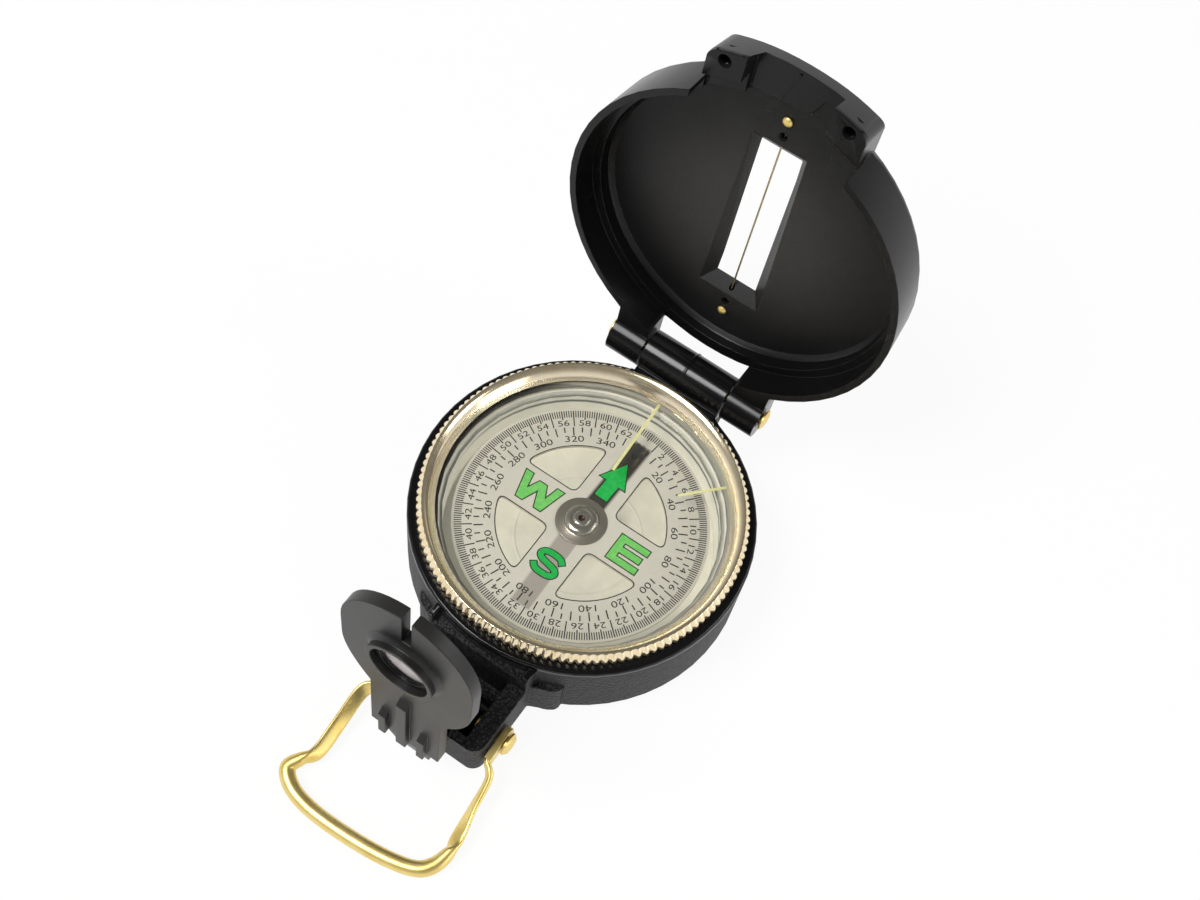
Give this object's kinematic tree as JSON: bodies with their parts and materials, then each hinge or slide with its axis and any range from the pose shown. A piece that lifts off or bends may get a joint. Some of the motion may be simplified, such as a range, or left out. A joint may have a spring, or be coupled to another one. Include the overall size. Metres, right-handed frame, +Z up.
{
  "type": "lensatic compass",
  "caption": "Folding lensatic compass with a hinged sighting cover, a turning knurled bezel, a floating dial card, a fold-down lens bracket and a wire thumb loop.",
  "frame": {"origin": "centre of the case's flat underside, on the dial's axis", "axes": "+Z up from the table along the dial's axis, +Y along the line of sight from the lens bracket towards the cover hinge, +X to the right of it"},
  "size_m": [0.057, 0.109, 0.0801],
  "materials": {
    "case_plastic": "leather grained moulding",
    "cover_plastic": "matte moulding with gloss walls",
    "bracket_plastic": "satin",
    "capsule_plastic": "satin",
    "dial_card": "printed card",
    "black_seal": "matte",
    "bezel_metal": "champagne anodised",
    "brass": "polished",
    "steel": "bright",
    "magnet": "matte",
    "jewel": "polished",
    "crystal": "clear"
  },
  "bodies": {
    "case": {"base_case": "case_plastic", "capsule_bowl": "capsule_plastic", "capsule_gasket": "black_seal", "capsule_lid": "crystal", "pivot_post": "steel", "bezel_snap_ring": "steel", "hinge_pin": "brass", "bracket_pin": "steel", "loop_rivet_left": "brass", "loop_rivet_right": "brass"},
    "dial": {"dial_card": "dial_card", "magnet_bar": "magnet", "bearing_cap": "steel", "jewel": "jewel"},
    "bezel": {"bezel_ring": "bezel_metal", "bezel_crystal": "crystal", "crystal_gasket": "black_seal"},
    "cover": {"cover_shell": "cover_plastic", "sight_wire": "steel", "wire_pin_upper": "brass", "wire_pin_lower": "brass"},
    "bracket": {"lens_bracket": "bracket_plastic", "magnifier_lens": "crystal", "lens_retainer_ring": "cover_plastic"},
    "loop": {"thumb_loop": "brass"}
  },
  "joints": [
    {"name": "cover_hinge", "type": "hinge", "parent": "case", "child": "cover", "pos_m": [0, 0.03134, 0.01634], "axis": [-1, 0, 0], "range_deg": [-95.2, 84.8]},
    {"name": "bracket_fold", "type": "hinge", "parent": "case", "child": "bracket", "pos_m": [0, -0.0344, 0.0068], "axis": [-1, 0, 0], "range_deg": [0, 87.8]},
    {"name": "bezel_turn", "type": "hinge", "parent": "case", "child": "bezel", "pos_m": [0, 0, 0.0152], "axis": [0, 0, 1], "continuous": true},
    {"name": "dial_swing", "type": "hinge", "parent": "case", "child": "dial", "pos_m": [0, 0, 0.0102], "axis": [0, 0, 1], "continuous": true},
    {"name": "loop_swing", "type": "hinge", "parent": "case", "child": "loop", "pos_m": [0, -0.0364, 0.0047], "axis": [-1, 0, 0], "range_deg": [-80, 60]}
  ]
}
